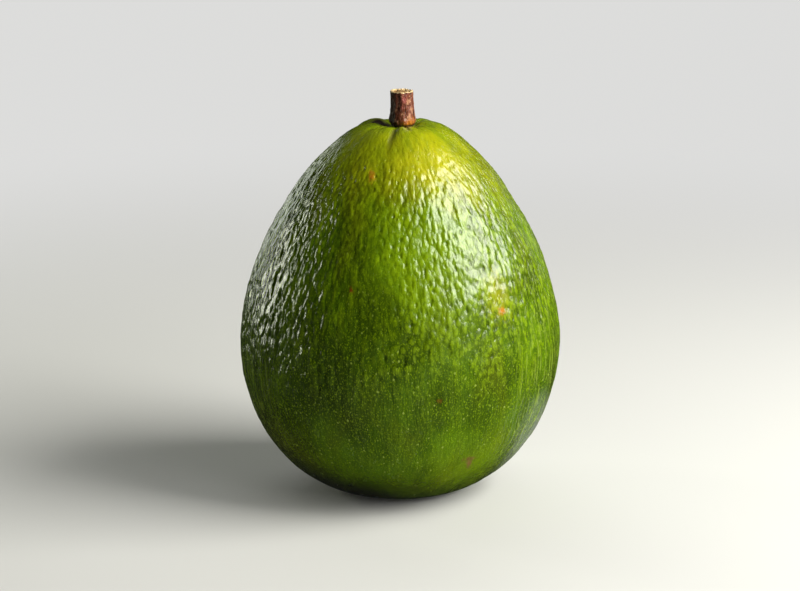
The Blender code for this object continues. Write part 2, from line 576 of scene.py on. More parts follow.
def forward_at(height):
    """How far the fruit's core line has bent forward, towards -Y, at this height."""
    share = np.maximum(0.0, (height / SHOULDER_HEIGHT - BEND_START) / (1.0 - BEND_START))
    return STEM_FORWARD * share * share


def shape_fruit(piece):
    """Turns the round body into the fruit."""
    points = corners(piece)
    radius = np.hypot(points[:, 0], points[:, 1])
    direction = np.degrees(np.arctan2(points[:, 1], points[:, 0]))
    oval = 1.0 + OVAL_SHARE * np.cos(np.radians(2.0 * (direction - OVAL_DIRECTION)))
    forward = forward_at(points[:, 2])
    upper = points[:, 2] > 0.5 * SHOULDER_HEIGHT
    points[:, 2] += np.where(upper, shoulder_height_change(radius, direction), 0.0)
    points[:, 0] *= oval
    points[:, 1] = points[:, 1] * oval - forward
    move_corners(piece, points)


shape_fruit(skin)
print("the shaped skin reaches", [round(float(v) / MM, 2) for v in corners(skin).max(axis=0)], "mm")

# %% [markdown]
# ## Folds round the stem
#
# The skin is drawn in where it meets the stem. Fine folds run out of the hollow, the deepest one at the front. A
# narrow groove follows the stem's foot, and a small hollow lies beside it on the left. Each point also keeps how
# deep in a fold or in the groove it is, because the colour is browner and darker there: partly brown skin, and
# partly painted shade in the creases and in the crevice round the stem.

# %% Folds, groove and hollow
# Each fold is (direction, depth, half width in degrees, start radius, end radius, how brown and shaded). The
# last is brown skin with painted shade in the fold.
CROWN_FOLDS = [
    (-103.0, 0.42 * MM, 3.6, 3.2 * MM, 17.0 * MM, 0.75),
    (-80.0, 0.16 * MM, 3.0, 3.5 * MM, 9.0 * MM, 0.45),
    (-58.0, 0.10 * MM, 4.0, 3.8 * MM, 8.0 * MM, 0.25),
    (-20.0, 0.10 * MM, 4.0, 3.8 * MM, 8.5 * MM, 0.2),
    (18.0, 0.14 * MM, 5.0, 3.6 * MM, 9.0 * MM, 0.4),
    (58.0, 0.20 * MM, 5.0, 3.4 * MM, 9.5 * MM, 0.5),
    (100.0, 0.25 * MM, 4.5, 3.3 * MM, 10.0 * MM, 0.6),
    (148.0, 0.55 * MM, 7.0, 2.4 * MM, 11.0 * MM, 1.0),
    (150.0, 0.12 * MM, 24.0, 2.4 * MM, 11.0 * MM, 1.0),
    (168.0, 0.30 * MM, 5.0, 3.0 * MM, 10.0 * MM, 0.8),
    (-128.0, 0.16 * MM, 5.0, 3.6 * MM, 9.5 * MM, 0.35),
]
FOLD_ENTRY = 1.2 * MM
STEM_PLACE = (0.4 * MM, -1.4 * MM)
STEM_GROOVE_RADIUS = 3.35 * MM
STEM_GROOVE_WIDTH = 0.55 * MM
STEM_GROOVE_DEPTH = 0.35 * MM
STEM_GROOVE_SIDE = -155.0
STEM_GROOVE_SPREAD = 75.0
SIDE_HOLLOW = (-3.0 * MM, 0.9 * MM)
SIDE_HOLLOW_SIZE = 2.3 * MM
SIDE_HOLLOW_DEPTH = 0.85 * MM


def shape_crown(piece):
    """Presses the folds, the groove round the stem and the hollow beside it, and stores how deep they are."""
    points = corners(piece)
    from_stem = points[:, :2] - STEM_PLACE
    radius = np.hypot(from_stem[:, 0], from_stem[:, 1])
    direction = np.degrees(np.arctan2(from_stem[:, 1], from_stem[:, 0]))
    upper = points[:, 2] > 0.5 * SHOULDER_HEIGHT
    shade = np.zeros(len(points))
    for fold, depth, half_width, start, end, brown_and_shade in CROWN_FOLDS:
        share = np.exp(-((angle_between(direction, fold) / half_width) ** 2))
        share *= smooth_step(radius, start, start + FOLD_ENTRY)
        share *= 1.0 - smooth_step(radius, 0.5 * (start + end), end)
        points[:, 2] -= np.where(upper, depth * share, 0.0)
        shade = np.maximum(shade, np.where(upper, share * brown_and_shade, 0.0))
    groove = np.exp(-(((radius - STEM_GROOVE_RADIUS) / STEM_GROOVE_WIDTH) ** 2)) * upper
    groove *= 0.25 + 0.75 * np.exp(-((angle_between(direction, STEM_GROOVE_SIDE) / STEM_GROOVE_SPREAD) ** 2))
    beside = np.hypot(points[:, 0] - SIDE_HOLLOW[0], points[:, 1] - SIDE_HOLLOW[1])
    hollow = np.exp(-((beside / SIDE_HOLLOW_SIZE) ** 2)) * upper
    points[:, 2] -= STEM_GROOVE_DEPTH * groove + SIDE_HOLLOW_DEPTH * hollow
    move_corners(piece, points)
    for name, values in {"fold_shade": shade, "groove_shade": np.maximum(groove, hollow**2)}.items():
        layer = piece.data.attributes.new(name, "FLOAT", "POINT")
        layer.data.foreach_set("value", values.astype(np.float32))


shape_crown(skin)
print(len(CROWN_FOLDS), "folds, the deepest", round(max(fold[1] for fold in CROWN_FOLDS) / MM, 2), "mm")

# %% [markdown]
# ## Lumps, pebbles, pits and ridges
#
# The skin's relief is a sum of patterns. Wide soft swellings make the highlight wander. Lumps about two
# millimetres across carry smaller pebbles, with narrow pits between them, all longer along the growth. They
# cover the upper two thirds and are weaker at the stem. Short domes like grains of rice wrinkle the left flank,
# and long straight ridges line the right flank and the lower left one. A fine grain runs everywhere, and is
# nearly all there is on the smooth lower third.

# %% Where the pebbles are
PEBBLES_START = 24.0
PEBBLES_FULL = 46.0
PEBBLES_FADE = 72.0
PEBBLES_END = 86.0
CALM_PLACE = (-10.0, -30.0, 56.0)
CALM_SIZE = (16.0, 24.0, 32.0)


def pebble_strength(tree, address, position):
    """How strong the pebbles are: none at the bottom, full on the middle and upper body, weak at the stem."""
    height = height_in_mm(tree, position)
    patches = noise(tree, address, size=14.0, stretch=1.4, seed=3.0)
    wandering = maths(tree, "MULTIPLY_ADD", patches, 26.0, -13.0)
    moved = total(tree, height, wandering)
    growing = rise(tree, moved, PEBBLES_START, PEBBLES_FULL)
    fading = rise(tree, height, PEBBLES_FADE, PEBBLES_END, 1.0, 0.22)
    calm = near_point(tree, position, CALM_PLACE, CALM_SIZE)
    return product(tree, growing, fading, rise(tree, calm, 0.0, 0.7, 1.0, 0.5))


print("pebbles from", PEBBLES_START, "to", PEBBLES_END, "mm up")

# %% [markdown]
# ### Pebbles, lumps and pits
#
# Pebbles and pits are Voronoi cells: a pebble is a dome over each cell, and a pit is only the small middle of
# one. Lumps are soft noise, because they have no border. Every pattern first wanders a little, since straight
# rows of cells would look knitted.

# %% Pebbles, lumps and pits
PEBBLE_SIZE = 1.2
PEBBLE_STRETCH = 1.75
LUMP_SIZE = 2.3
LUMP_STRETCH = 1.4
PIT_SPACING = 1.6
PIT_STRETCH = 1.9


def pebbles(tree, address):
    """The height of the pebbles, small domes of uneven height, from about -1 in the creases to 1."""
    place = wandered(tree, address, size=2.4, reach=1.1, seed=5.0)
    distance, _ = cells(tree, place, size=PEBBLE_SIZE, stretch=PEBBLE_STRETCH, smoothness=0.18, seed=1.0)
    return maths(tree, "MULTIPLY_ADD", product(tree, distance, distance), -3.2, 1.0)


def lumps(tree, address):
    """The height of the lumps that carry a few pebbles each, from about -1 to 1."""
    place = wandered(tree, address, size=4.0, reach=1.6, seed=14.0)
    soft = noise(tree, place, size=LUMP_SIZE, stretch=LUMP_STRETCH, detail=1.5, roughness=0.45, seed=9.0)
    return rise(tree, soft, 0.28, 0.72, -1.0, 1.0)


def pits(tree, address):
    """1 in the middle of each narrow pit, and 0 on the skin between them."""
    place = wandered(tree, address, size=2.2, reach=0.8, seed=8.0)
    distance, _ = cells(tree, place, size=PIT_SPACING, stretch=PIT_STRETCH, seed=2.0)
    return rise(tree, distance, 0.08, 0.36, 1.0, 0.0)


print("lumps", LUMP_SIZE, "mm, pebbles", PEBBLE_SIZE, "mm and pits", PIT_SPACING, "mm apart")

# %% [markdown]
# ### Domes and ridges along the growth
#
# The wrinkled flank has narrow domes, each of which mirrors the edge light in one small glint. Long ridges and
# the grain are noise stretched so far along the growth that only lines are left.

# %% Domes, ridges, grain and swellings
GRAIN_SIZE = 0.60
GRAIN_STRETCH = 9.0
DOME_SIZE = 1.15
DOME_STRETCH = 2.2
DOME_REST = 0.08
LONG_RIDGE_SIZE = 0.72
LONG_RIDGE_STRETCH = 15.0


def grain(tree, address):
    """Fine ridges that run from the blossom end to the stem, from about -1 to 1."""
    place = wandered(tree, address, size=9.0, reach=2.0, seed=11.0)
    soft = noise(tree, place, size=GRAIN_SIZE, stretch=GRAIN_STRETCH, detail=2.0, roughness=0.55, seed=4.0)
    return rise(tree, soft, 0.28, 0.72, -1.0, 1.0)


def narrow_domes(tree, address):
    """The height of short narrow domes, like grains of rice along the growth, from about -1 to 1."""
    place = wandered(tree, address, size=2.3, reach=0.9, seed=71.0)
    shape = {"size": DOME_SIZE, "stretch": DOME_STRETCH, "smoothness": 0.22, "randomness": 0.85}
    distance, _ = cells(tree, place, **shape, seed=12.0)
    return maths(tree, "MULTIPLY_ADD", product(tree, distance, distance), -3.4, 1.0)


def dome_strength(tree, position, height):
    """How high the short domes are: one flank of the fruit is wrinkled more than the rest."""
    side = add_node(tree, "ShaderNodeSeparateXYZ", {0: position}).outputs["X"]
    flank = rise(tree, side, -0.008, -0.022, DOME_REST, 1.0)
    return product(tree, flank, rise(tree, height, 14.0, 34.0), rise(tree, height, 70.0, 84.0, 1.0, 0.3))


def long_ridges(tree, address):
    """Long fine ridges that run along the lower flanks, from 0 between them to 1 on their crests."""
    place = wandered(tree, address, size=9.0, reach=1.2, seed=81.0)
    soft = noise(tree, place, size=LONG_RIDGE_SIZE, stretch=LONG_RIDGE_STRETCH, detail=1.0, seed=13.0)
    return rise(tree, soft, 0.53, 0.63)


def long_ridge_strength(tree, position, height):
    """How deep the long ridges are: most on the right flank, and low on the left one."""
    side = sideways(tree, position)
    upper_share = rise(tree, side, -0.2, 0.2, 0.1, 0.55)
    left_share = rise(tree, side, -0.66, -0.92, 0.0, 0.85)
    flank = maths(tree, "MAXIMUM", rise(tree, side, 0.62, 0.90, 0.04, 1.0), left_share)
    return product(tree, flank, rise(tree, height, 2.0, 7.0), rise(tree, height, 30.0, 52.0, 1.0, upper_share))


def swellings(tree, address):
    """Wide soft unevenness, from about -1 to 1."""
    soft = noise(tree, address, size=9.0, stretch=1.5, detail=1.0, seed=6.0)
    return rise(tree, soft, 0.25, 0.75, -1.0, 1.0)


print("the patterns run from swellings of 9 mm to a grain of", GRAIN_SIZE, "mm")

# %% [markdown]
# ## Relief in the mesh
#
# A bump in a shader alone leaves the outline smooth, so the pebbles are real. Geometry Nodes moves each point
# along its normal by the sum of the patterns, and the modifier is then applied. The relief fades out at the
# flat spot, which stays level on the table.

# %% Move the skin's points
PEBBLE_RELIEF = 0.050 * MM
LUMP_RELIEF = 0.095 * MM
PIT_RELIEF = 0.100 * MM
DOME_RELIEF = 0.055 * MM
LONG_RIDGE_RELIEF = 0.070 * MM
GRAIN_RELIEF = 0.012 * MM
SWELLING_RELIEF = 0.15 * MM
FLAT_SPOT_TOP = 0.9
RELIEF_FULL_HEIGHT = 5.0


def relief_modifier(piece, name, build_height):
    """Moves each point of the piece along its normal by the height that build_height makes, in metres."""
    tree = bpy.data.node_groups.new(name, "GeometryNodeTree")
    tree.interface.new_socket("Geometry", in_out="INPUT", socket_type="NodeSocketGeometry")
    tree.interface.new_socket("Geometry", in_out="OUTPUT", socket_type="NodeSocketGeometry")
    entry = tree.nodes.new("NodeGroupInput")
    result = tree.nodes.new("NodeGroupOutput")
    height = build_height(tree)
    normal = tree.nodes.new("GeometryNodeInputNormal").outputs[0]
    offset = add_node(tree, "ShaderNodeVectorMath", {0: normal, "Scale": height}, operation="SCALE")
    moved = add_node(
        tree,
        "GeometryNodeSetPosition",
        {"Geometry": entry.outputs[0], "Offset": offset.outputs["Vector"]},
    )
    tree.links.new(moved.outputs[0], result.inputs[0])
    deselect_everything()
    piece.select_set(True)
    bpy.context.view_layer.objects.active = piece
    modifier = piece.modifiers.new(name, "NODES")
    modifier.node_group = tree
    bpy.ops.object.modifier_apply(modifier=modifier.name)


def stored_address(tree, name):
    """A point's address, read inside Geometry Nodes."""
    made = add_node(
        tree, "GeometryNodeInputNamedAttribute", {"Name": name}, data_type="FLOAT_VECTOR"
    )
    return made.outputs["Attribute"]


def skin_height(tree):
    """The whole relief of the skin, in metres."""
    address = stored_address(tree, "skin_address")
    position = tree.nodes.new("GeometryNodeInputPosition").outputs[0]
    height = height_in_mm(tree, position)
    strength = pebble_strength(tree, address, position)
    pebbled = product(tree, pebbles(tree, address), PEBBLE_RELIEF)
    lumpy = product(tree, lumps(tree, address), LUMP_RELIEF)
    pitted = product(tree, pits(tree, address), -PIT_RELIEF)
    coarse = product(tree, total(tree, pebbled, lumpy, pitted), strength)
    fine = product(tree, grain(tree, address), GRAIN_RELIEF)
    wide = product(tree, swellings(tree, address), SWELLING_RELIEF)
    dome_share = dome_strength(tree, position, height)
    domed = product(tree, narrow_domes(tree, address), dome_share, DOME_RELIEF)
    ridge_share = long_ridge_strength(tree, position, height)
    ridged = product(tree, long_ridges(tree, address), ridge_share, LONG_RIDGE_RELIEF)
    ends = rise(tree, height, FLAT_SPOT_TOP, RELIEF_FULL_HEIGHT)
    return product(tree, total(tree, coarse, fine, wide, domed, ridged), ends)


before = corners(skin)
relief_modifier(skin, "skin_relief", skin_height)
moved_by = np.linalg.norm(corners(skin) - before, axis=1)
print("the relief moves the skin by up to", round(float(moved_by.max()) / MM, 3), "mm")

# %% [markdown]
# ## The colour of the skin
#
# Green skin is never one green. It is deepest in the pits and low on the left, where shade is painted in, and
# lighter and yellower on the crests, where a highlight is painted, in long streaks and round the stem, where the
# right side has ripened to yellow. The colour is built up as a painter would: each step lays one colour over the
# last by a share from 0 to 1. Colours are linear, so they look darker as numbers than they do on the fruit.

# %% The skin's colours
DEEP_GREEN = (0.026, 0.052, 0.0008, 1.0)
LEAF_GREEN = (0.080, 0.162, 0.0012, 1.0)
LIGHT_GREEN = (0.228, 0.352, 0.0028, 1.0)
OLIVE_GREEN = (0.095, 0.108, 0.0012, 1.0)
OLIVE_BLUSH = (0.055, 0.045, 0.004, 1.0)
RIPE_YELLOW = (0.45, 0.43, 0.006, 1.0)
SHOULDER_YELLOW = (0.36, 0.34, 0.004, 1.0)
# A painted highlight for the crests of the long ridges.
RIDGE_SHEEN_GREEN = (0.31, 0.41, 0.055, 1.0)
PORE_COLOUR = (0.27, 0.36, 0.045, 1.0)
# Brown skin darkened by painted shade, for the folds.
FOLD_BROWN_AND_SHADE = (0.060, 0.045, 0.002, 1.0)
# A nearly black brown: painted shade in the groove and hollow round the stem.
GROOVE_BROWN_AND_SHADE = (0.020, 0.008, 0.002, 1.0)
# Painted contact shade for the bottom of the fruit.
CONTACT_SHADE_DARK = (0.012, 0.015, 0.001, 1.0)


def stored_share(tree, name):
    """A share stored on the points, read inside a material."""
    return add_node(tree, "ShaderNodeAttribute", attribute_name=name).outputs["Fac"]


def shader_address(tree, name):
    """A point's address, read inside a material."""
    return add_node(tree, "ShaderNodeAttribute", attribute_name=name, attribute_type="GEOMETRY").outputs["Vector"]


def with_spots(tree, under, position, spots, ragged):
    """Lays soft oval spots over a colour. Each is (place in mm, size in mm, colour, how strong)."""
    for place, size, colour, how_strong in spots:
        share = product(tree, near_point(tree, position, place, size, ragged), how_strong)
        under = mixed(tree, share, under, colour)
    return under


skin_material, tree, shader = new_material("skin_wax")
address = shader_address(tree, "skin_address")
position = add_node(tree, "ShaderNodeTexCoord").outputs["Object"]
height = height_in_mm(tree, position)
side = add_node(tree, "ShaderNodeSeparateXYZ", {0: position}).outputs["X"]
strength = pebble_strength(tree, address, position)
crests = pebbles(tree, address)
hollows = pits(tree, address)
print("the skin's greens go from", DEEP_GREEN[:3], "to", LIGHT_GREEN[:3])

# %% [markdown]
# ### The greens of the body
#
# Two greens lie in wide patches, with a touch of olive. The side that faces the key light is painted paler,
# a painted light. Long streaks of light green follow the growth, and the same pebbles and pits that shape the
# mesh colour it: a painted highlight makes the crests light, and painted shade makes the pits deep.

# %% Patches, streaks, crests and pits
patches = noise(tree, address, size=13.0, stretch=1.6, detail=2.0, seed=21.0)
green = mixed(tree, rise(tree, patches, 0.32, 0.70), DEEP_GREEN, LEAF_GREEN)
olive = noise(tree, address, size=8.0, stretch=2.2, detail=2.0, seed=28.0)
green = mixed(tree, rise(tree, olive, 0.50, 0.74, 0.0, 0.4), green, OLIVE_GREEN)
# Painted light: the side that faces the key light is paler.
painted_light_zone = near_point(tree, position, (8.0, -29.0, 62.0), (23.0, 23.0, 30.0))
green = mixed(tree, product(tree, painted_light_zone, 0.42), green, LIGHT_GREEN)
streak_place = wandered(tree, address, size=8.0, reach=2.5, seed=31.0)
streaks = noise(tree, streak_place, size=1.9, stretch=9.0, detail=3.0, roughness=0.6, seed=22.0)
upper = rise(tree, height, 22.0, 62.0, 0.25, 1.0)
green = mixed(tree, product(tree, rise(tree, streaks, 0.48, 0.76, 0.0, 0.8), upper), green, LIGHT_GREEN)
# Painted highlight: the pebbles' crests are lighter.
green = mixed(tree, product(tree, rise(tree, crests, 0.1, 0.95, 0.0, 0.55), strength), green, LIGHT_GREEN)
# Painted shade: the pits are darker, less so inside the painted light.
pit_shade_share = product(tree, hollows, strength, rise(tree, painted_light_zone, 0.0, 1.0, 0.72, 0.45))
green = mixed(tree, pit_shade_share, green, DEEP_GREEN)
print("the body's greens take", len(tree.nodes), "nodes so far")

# %% [markdown]
# ### The crown and the flanks
#
# Wide soft spots carry the changes from place to place: a light crown, a yellow patch where the fruit has
# ripened, which is streaked, yellow shoulders, an olive blush low on the left, painted light that makes the right
# flank lighter and painted shade that makes the left one dark. Noise makes their borders ragged.

# %% Wide spots
wide_ragged = maths(tree, "MULTIPLY_ADD", noise(tree, address, size=5.0, stretch=3.0, seed=23.0), 0.9, -0.45)
ripe_streaks = rise(tree, streaks, 0.25, 0.60, 0.45, 0.95)
WIDE_SPOTS = [
    ((0.0, -3.0, 90.0), (34.0, 34.0, 24.0), LIGHT_GREEN, 0.75),
    ((8.0, -15.0, 79.5), (16.0, 16.0, 14.0), RIPE_YELLOW, ripe_streaks),
    ((-6.0, -14.0, 82.0), (20.0, 20.0, 26.0), SHOULDER_YELLOW, 0.44),
    ((17.0, -6.0, 81.0), (20.0, 20.0, 26.0), SHOULDER_YELLOW, 0.40),
    ((-26.0, -16.0, 14.0), (22.0, 22.0, 20.0), OLIVE_BLUSH, 0.6),
    # Painted light: the right flank, on the key light's side, is lighter.
    ((29.0, -10.0, 60.0), (16.0, 20.0, 30.0), LIGHT_GREEN, 0.12),
    # Painted shade: the two spots below darken the left side, away from the key light.
    ((-14.0, -31.0, 36.0), (25.0, 25.0, 32.0), DEEP_GREEN, 0.78),
    ((-31.0, -18.0, 48.0), (25.0, 28.0, 42.0), DEEP_GREEN, 0.9),
]
green = with_spots(tree, green, position, WIDE_SPOTS, wide_ragged)
print(len(WIDE_SPOTS), "wide spots")

# %% [markdown]
# ### Lines, specks and pores
#
# The long ridges on the flanks are painted pale along their crests, a painted highlight. Fine specks, light and
# dark, cover the whole skin.
# Pores are the small pale dots: each sits in the middle of a cell, and the cell's random colour sets how large
# it is. Specks and pores show best low down, where the skin is smooth.

# %% Lines, specks and pores
# Painted highlight along the crests of the long ridges.
ridged = product(tree, long_ridges(tree, address), long_ridge_strength(tree, position, height))
green = mixed(tree, product(tree, ridged, 0.42), green, RIDGE_SHEEN_GREEN)

speck_place = wandered(tree, address, size=1.0, reach=0.4, seed=61.0)
specks = noise(tree, speck_place, size=0.30, stretch=1.5, detail=1.5, roughness=0.5, seed=27.0)
light_specks = product(tree, rise(tree, specks, 0.54, 0.70, 0.0, 0.60), rise(tree, height, 30.0, 70.0, 1.0, 0.5))
green = mixed(tree, light_specks, green, LIGHT_GREEN)
dark_specks = product(tree, rise(tree, specks, 0.46, 0.28, 0.0, 0.40), rise(tree, height, 30.0, 70.0, 1.0, 0.6))
green = mixed(tree, dark_specks, green, DEEP_GREEN)

pore_place = wandered(tree, address, size=2.0, reach=0.8, seed=41.0)
pore_distance, pore_random = cells(tree, pore_place, size=1.15, stretch=1.25, seed=24.0)
chance = add_node(tree, "ShaderNodeSeparateColor", {0: pore_random}).outputs[0]
pore_size = rise(tree, chance, 0.2, 1.0, 0.03, 0.24)
pore = rise(tree, maths(tree, "DIVIDE", pore_distance, pore_size), 0.6, 1.0, 1.0, 0.0)
green = mixed(tree, product(tree, pore, rise(tree, height, 24.0, 60.0, 0.85, 0.35)), green, PORE_COLOUR)
print("lines, specks and pores bring it to", len(tree.nodes), "nodes")

# %% [markdown]
# ### The foot, the folds and the groove
#
# The underside is lighter on the right, a painted bounce light, and nearly black on the left, a painted contact
# shade. At the top, the depths stored with the folds and the groove turn them brown and dark: brown skin, with
# painted shade in the creases.

# %% Foot, folds and groove
# Painted bounce light on the right of the underside.
green = with_spots(
    tree, green, position, [((17.0, -24.0, 11.0), (18.0, 20.0, 14.0), LIGHT_GREEN, 0.40)], wide_ragged
)
# Painted contact shade, darkest low on the left.
contact_shade_share = product(tree, rise(tree, height, 16.0, 3.0), rise(tree, side, 0.016, -0.009, 0.08, 0.97))
green = mixed(tree, contact_shade_share, green, CONTACT_SHADE_DARK)
# Brown skin and painted shade in the folds, and in the groove round the stem.
fold_share = stored_share(tree, "fold_shade")
green = mixed(tree, product(tree, fold_share, 0.9), green, FOLD_BROWN_AND_SHADE)
deepest = maths(tree, "MAXIMUM", stored_share(tree, "groove_shade"), rise(tree, fold_share, 0.70, 0.95))
groove_share = rise(tree, deepest, 0.25, 0.8)
green = mixed(tree, groove_share, green, GROOVE_BROWN_AND_SHADE)
print("foot, folds and groove done")

# %% [markdown]
# ### Marks
#
# A fruit that has hung in the wind has scars. Each one here is a ragged spot of its own: orange flecks on the
# shoulder and the right side, a brown scar low on the right, dark red dots, and a few more on the back.

# %% Marks
# Each mark is (place in mm, size in mm, colour, how strong). Another program looked up the places of the
# first, third, sixth and seventh on the skin, and the second, fourth and fifth were moved by hand from such
# places. Everything else here is chosen.
MARKS = [
    ((-6.3, -19.3, 77.8), (1.1, 2.2, 2.6), (0.42, 0.13, 0.010, 1.0), 0.8),
    ((22.0, -26.0, 52.0), (5.6, 5.6, 9.0), (0.40, 0.39, 0.008, 1.0), 0.45),
    ((22.9, -26.3, 48.6), (1.5, 1.5, 1.3), (0.52, 0.15, 0.020, 1.0), 0.8),
    ((15.6, -26.0, 12.6), (0.95, 3.0, 3.6), (0.22, 0.12, 0.040, 1.0), 0.95),
    ((15.6, -26.6, 14.2), (2.6, 2.8, 0.9), (0.16, 0.08, 0.025, 1.0), 0.9),
    ((8.8, -35.3, 30.1), (0.9, 1.5, 0.9), (0.14, 0.045, 0.004, 1.0), 0.8),
    ((-10.8, -31.7, 54.5), (0.7, 1.5, 0.9), (0.16, 0.018, 0.003, 1.0), 0.9),
    ((-6.2, -0.6, 86.4), (3.4, 0.9, 0.9), (0.42, 0.17, 0.06, 1.0), 0.8),
    ((30.5, 12.5, 58.0), (1.2, 2.6, 3.4), (0.22, 0.11, 0.030, 1.0), 0.85),
    ((24.0, 27.5, 33.0), (1.5, 1.5, 1.2), (0.40, 0.13, 0.012, 1.0), 0.85),
    ((-4.0, 35.5, 41.0), (2.4, 1.4, 3.6), (0.20, 0.10, 0.026, 1.0), 0.85),
    ((-20.0, 25.0, 62.0), (1.3, 1.3, 2.2), (0.38, 0.12, 0.010, 1.0), 0.8),
    ((9.0, 24.0, 70.0), (0.9, 0.9, 1.0), (0.15, 0.020, 0.004, 1.0), 0.9),
    ((-34.5, 3.0, 45.0), (1.4, 2.2, 1.6), (0.17, 0.08, 0.022, 1.0), 0.85),
    ((-29.0, 14.0, 22.0), (1.4, 1.4, 1.4), (0.36, 0.12, 0.012, 1.0), 0.8),
]
mark_noise = noise(tree, address, size=0.8, stretch=1.5, detail=3.0, roughness=0.65, seed=29.0)
mark_ragged = maths(tree, "MULTIPLY_ADD", mark_noise, 1.6, -0.8)
green = with_spots(tree, green, position, MARKS, mark_ragged)
tree.links.new(green, shader.inputs["Base Color"])
print(len(MARKS), "marks")

# %% [markdown]
# ### Wax and fine relief
#
# The wax is glossy under a thin clear coat, except in the brown folds. Its roughness wanders a little. A bump
# sharpens the relief that the mesh already has and adds the part that is finer than the mesh: each height in
# the sum is in millimetres.

# %% Wax and bump
WAX_IOR = 1.47
COAT_ROUGHNESS = 0.10
CREST_BUMP = (0.050, 0.068)
PIT_BUMP = -0.120
RIDGE_BUMP = 0.13
GRAIN_BUMP = (0.045, 0.015)
SPECK_BUMP = 0.030
PORE_BUMP = 0.012

wax = noise(tree, address, size=3.0, stretch=1.5, detail=3.0, seed=25.0)
waxy = rise(tree, wax, 0.25, 0.75, 0.19, 0.28)
dull = maths(tree, "MAXIMUM", groove_share, fold_share)
tree.links.new(maths(tree, "MAXIMUM", waxy, product(tree, dull, 0.75)), shader.inputs["Roughness"])
tree.links.new(rise(tree, dull, 0.0, 0.4, 0.4, 0.0), shader.inputs["Coat Weight"])
shader.inputs["IOR"].default_value = WAX_IOR
shader.inputs["Coat Roughness"].default_value = COAT_ROUGHNESS

fine = noise(tree, address, size=0.30, stretch=1.8, detail=2.0, seed=26.0)
fine_height = total(
    tree,
    product(tree, crests, strength, rise(tree, painted_light_zone, 0.0, 1.0, *CREST_BUMP)),
    product(tree, hollows, strength, PIT_BUMP),
    product(tree, narrow_domes(tree, address), dome_strength(tree, position, height), RIDGE_BUMP),
    product(tree, ridged, RIDGE_BUMP),
    product(tree, grain(tree, address), rise(tree, height, 30.0, 44.0, *GRAIN_BUMP)),
    product(tree, fine, SPECK_BUMP),
    product(tree, pore, PORE_BUMP),
)
bump = add_node(tree, "ShaderNodeBump", {"Height": fine_height, "Distance": MM, "Strength": 1.0})
tree.links.new(bump.outputs["Normal"], shader.inputs["Normal"])
skin.data.materials.clear()
skin.data.materials.append(skin_material)
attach(skin, "root")
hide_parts("fruit")
print("the skin's material has", len(tree.nodes), "nodes")

# %% [markdown]
# ## The stub of stem
#
# When the fruit is cut from the tree, a short stub stays in the hollow. It is turned like the fruit, with a
# swollen foot that grows into the skin and a cut end that has dried hollow inside a paler ring.

# %% The stem's body
STEM_BASE_WIDTH = 6.2 * MM
STEM_LENGTH = 7.9 * MM
STEM_LEAN = math.radians(3.5)
STEM_TILT = math.radians(2.0)
STEM_SIDEWAYS = 0.2 * MM
CLEARANCE = 0.3 * MM
STEM_ASIDE = 0.4 * MM
STEM_FOOT = np.array([STEM_ASIDE, -forward_at(SEAT_HEIGHT), SEAT_HEIGHT + CLEARANCE])
STEM_OUTLINE = [
    (0.90, 0.00),
    (1.00, 0.07),
    (1.01, 0.15),
    (0.95, 0.26),
    (0.90, 0.45),
    (0.88, 0.70),
    (0.87, 0.93),
    (0.83, 1.00),
]
STEM_RIDGES = [(3, 0.030, 20.0), (7, 0.016, 75.0)]
STEM_SEGMENTS = 128
STEM_SPACING = [(1.0, 0.11 * MM)]
# The foot goes on down into the skin, and the cut end has dried a little hollow.
STEM_ROOT = [(0.0, -0.9 * MM), (2.48 * MM, -0.9 * MM), (2.666 * MM, -0.4 * MM)]
CUT_END = [(0.77, 0.998), (0.68, 0.985), (0.60, 0.968), (0.30, 0.962), (0.0, 0.970)]

half_base = STEM_BASE_WIDTH / 2.0
stem_side = smooth_line(np.array(STEM_OUTLINE) * (half_base, STEM_LENGTH))
cut_line = np.array(CUT_END) * (half_base, STEM_LENGTH)
stem_line = np.vstack([np.array(STEM_ROOT), stem_side, cut_line])
side_length = length_along(np.vstack([np.array(STEM_ROOT), stem_side]))[-1]
stem_rows = respaced(stem_line, STEM_SPACING)
stub = turned("stub", stem_rows, STEM_SEGMENTS)
store_address(stub, stem_rows, "stem_address", 1.0)


def shape_stub(piece):
    """Makes the stub's plan uneven, leans it forward and stands it in the hollow."""
    points = corners(piece)
    direction = np.degrees(np.arctan2(points[:, 1], points[:, 0]))
    swell = 1.0 + sum(
        share * np.cos(np.radians(count * (direction - turned_by)))
        for count, share, turned_by in STEM_RIDGES
    )
    points[:, 0] = points[:, 0] * swell + STEM_SIDEWAYS - points[:, 2] * math.tan(STEM_TILT)
    points[:, 1] = points[:, 1] * swell - points[:, 2] * math.tan(STEM_LEAN)
    move_corners(piece, points + STEM_FOOT)


shape_stub(stub)
print("the stub reaches", round(float(corners(stub)[:, 2].max()) / MM, 2), "mm high")

# %% [markdown]
# ## Dry bark
#
# Dry bark shrinks into long wrinkles with harder ridges between them, and its cut edge is ragged. Noise
# stretched along the stub gives the wrinkles, at two sizes.

# %% Wrinkles in the bark
WRINKLE_RELIEF = 0.085 * MM
BARK_RELIEF = 0.025 * MM
BARK_SHRINKAGE = 0.10 * MM


def wrinkles(tree, address):
    """Long wrinkles in the bark, from about -1 to 1."""
    place = wandered(tree, address, size=2.5, reach=0.8, seed=51.0)
    soft = noise(tree, place, size=0.9, stretch=3.5, detail=2.0, seed=52.0)
    return rise(tree, soft, 0.3, 0.7, -1.0, 1.0)


def flakes(tree, address):
    """Small rough flakes in the bark, from about -1 to 1."""
    soft = noise(tree, address, size=0.42, stretch=1.6, detail=3.0, roughness=0.6, seed=53.0)
    return rise(tree, soft, 0.3, 0.7, -1.0, 1.0)


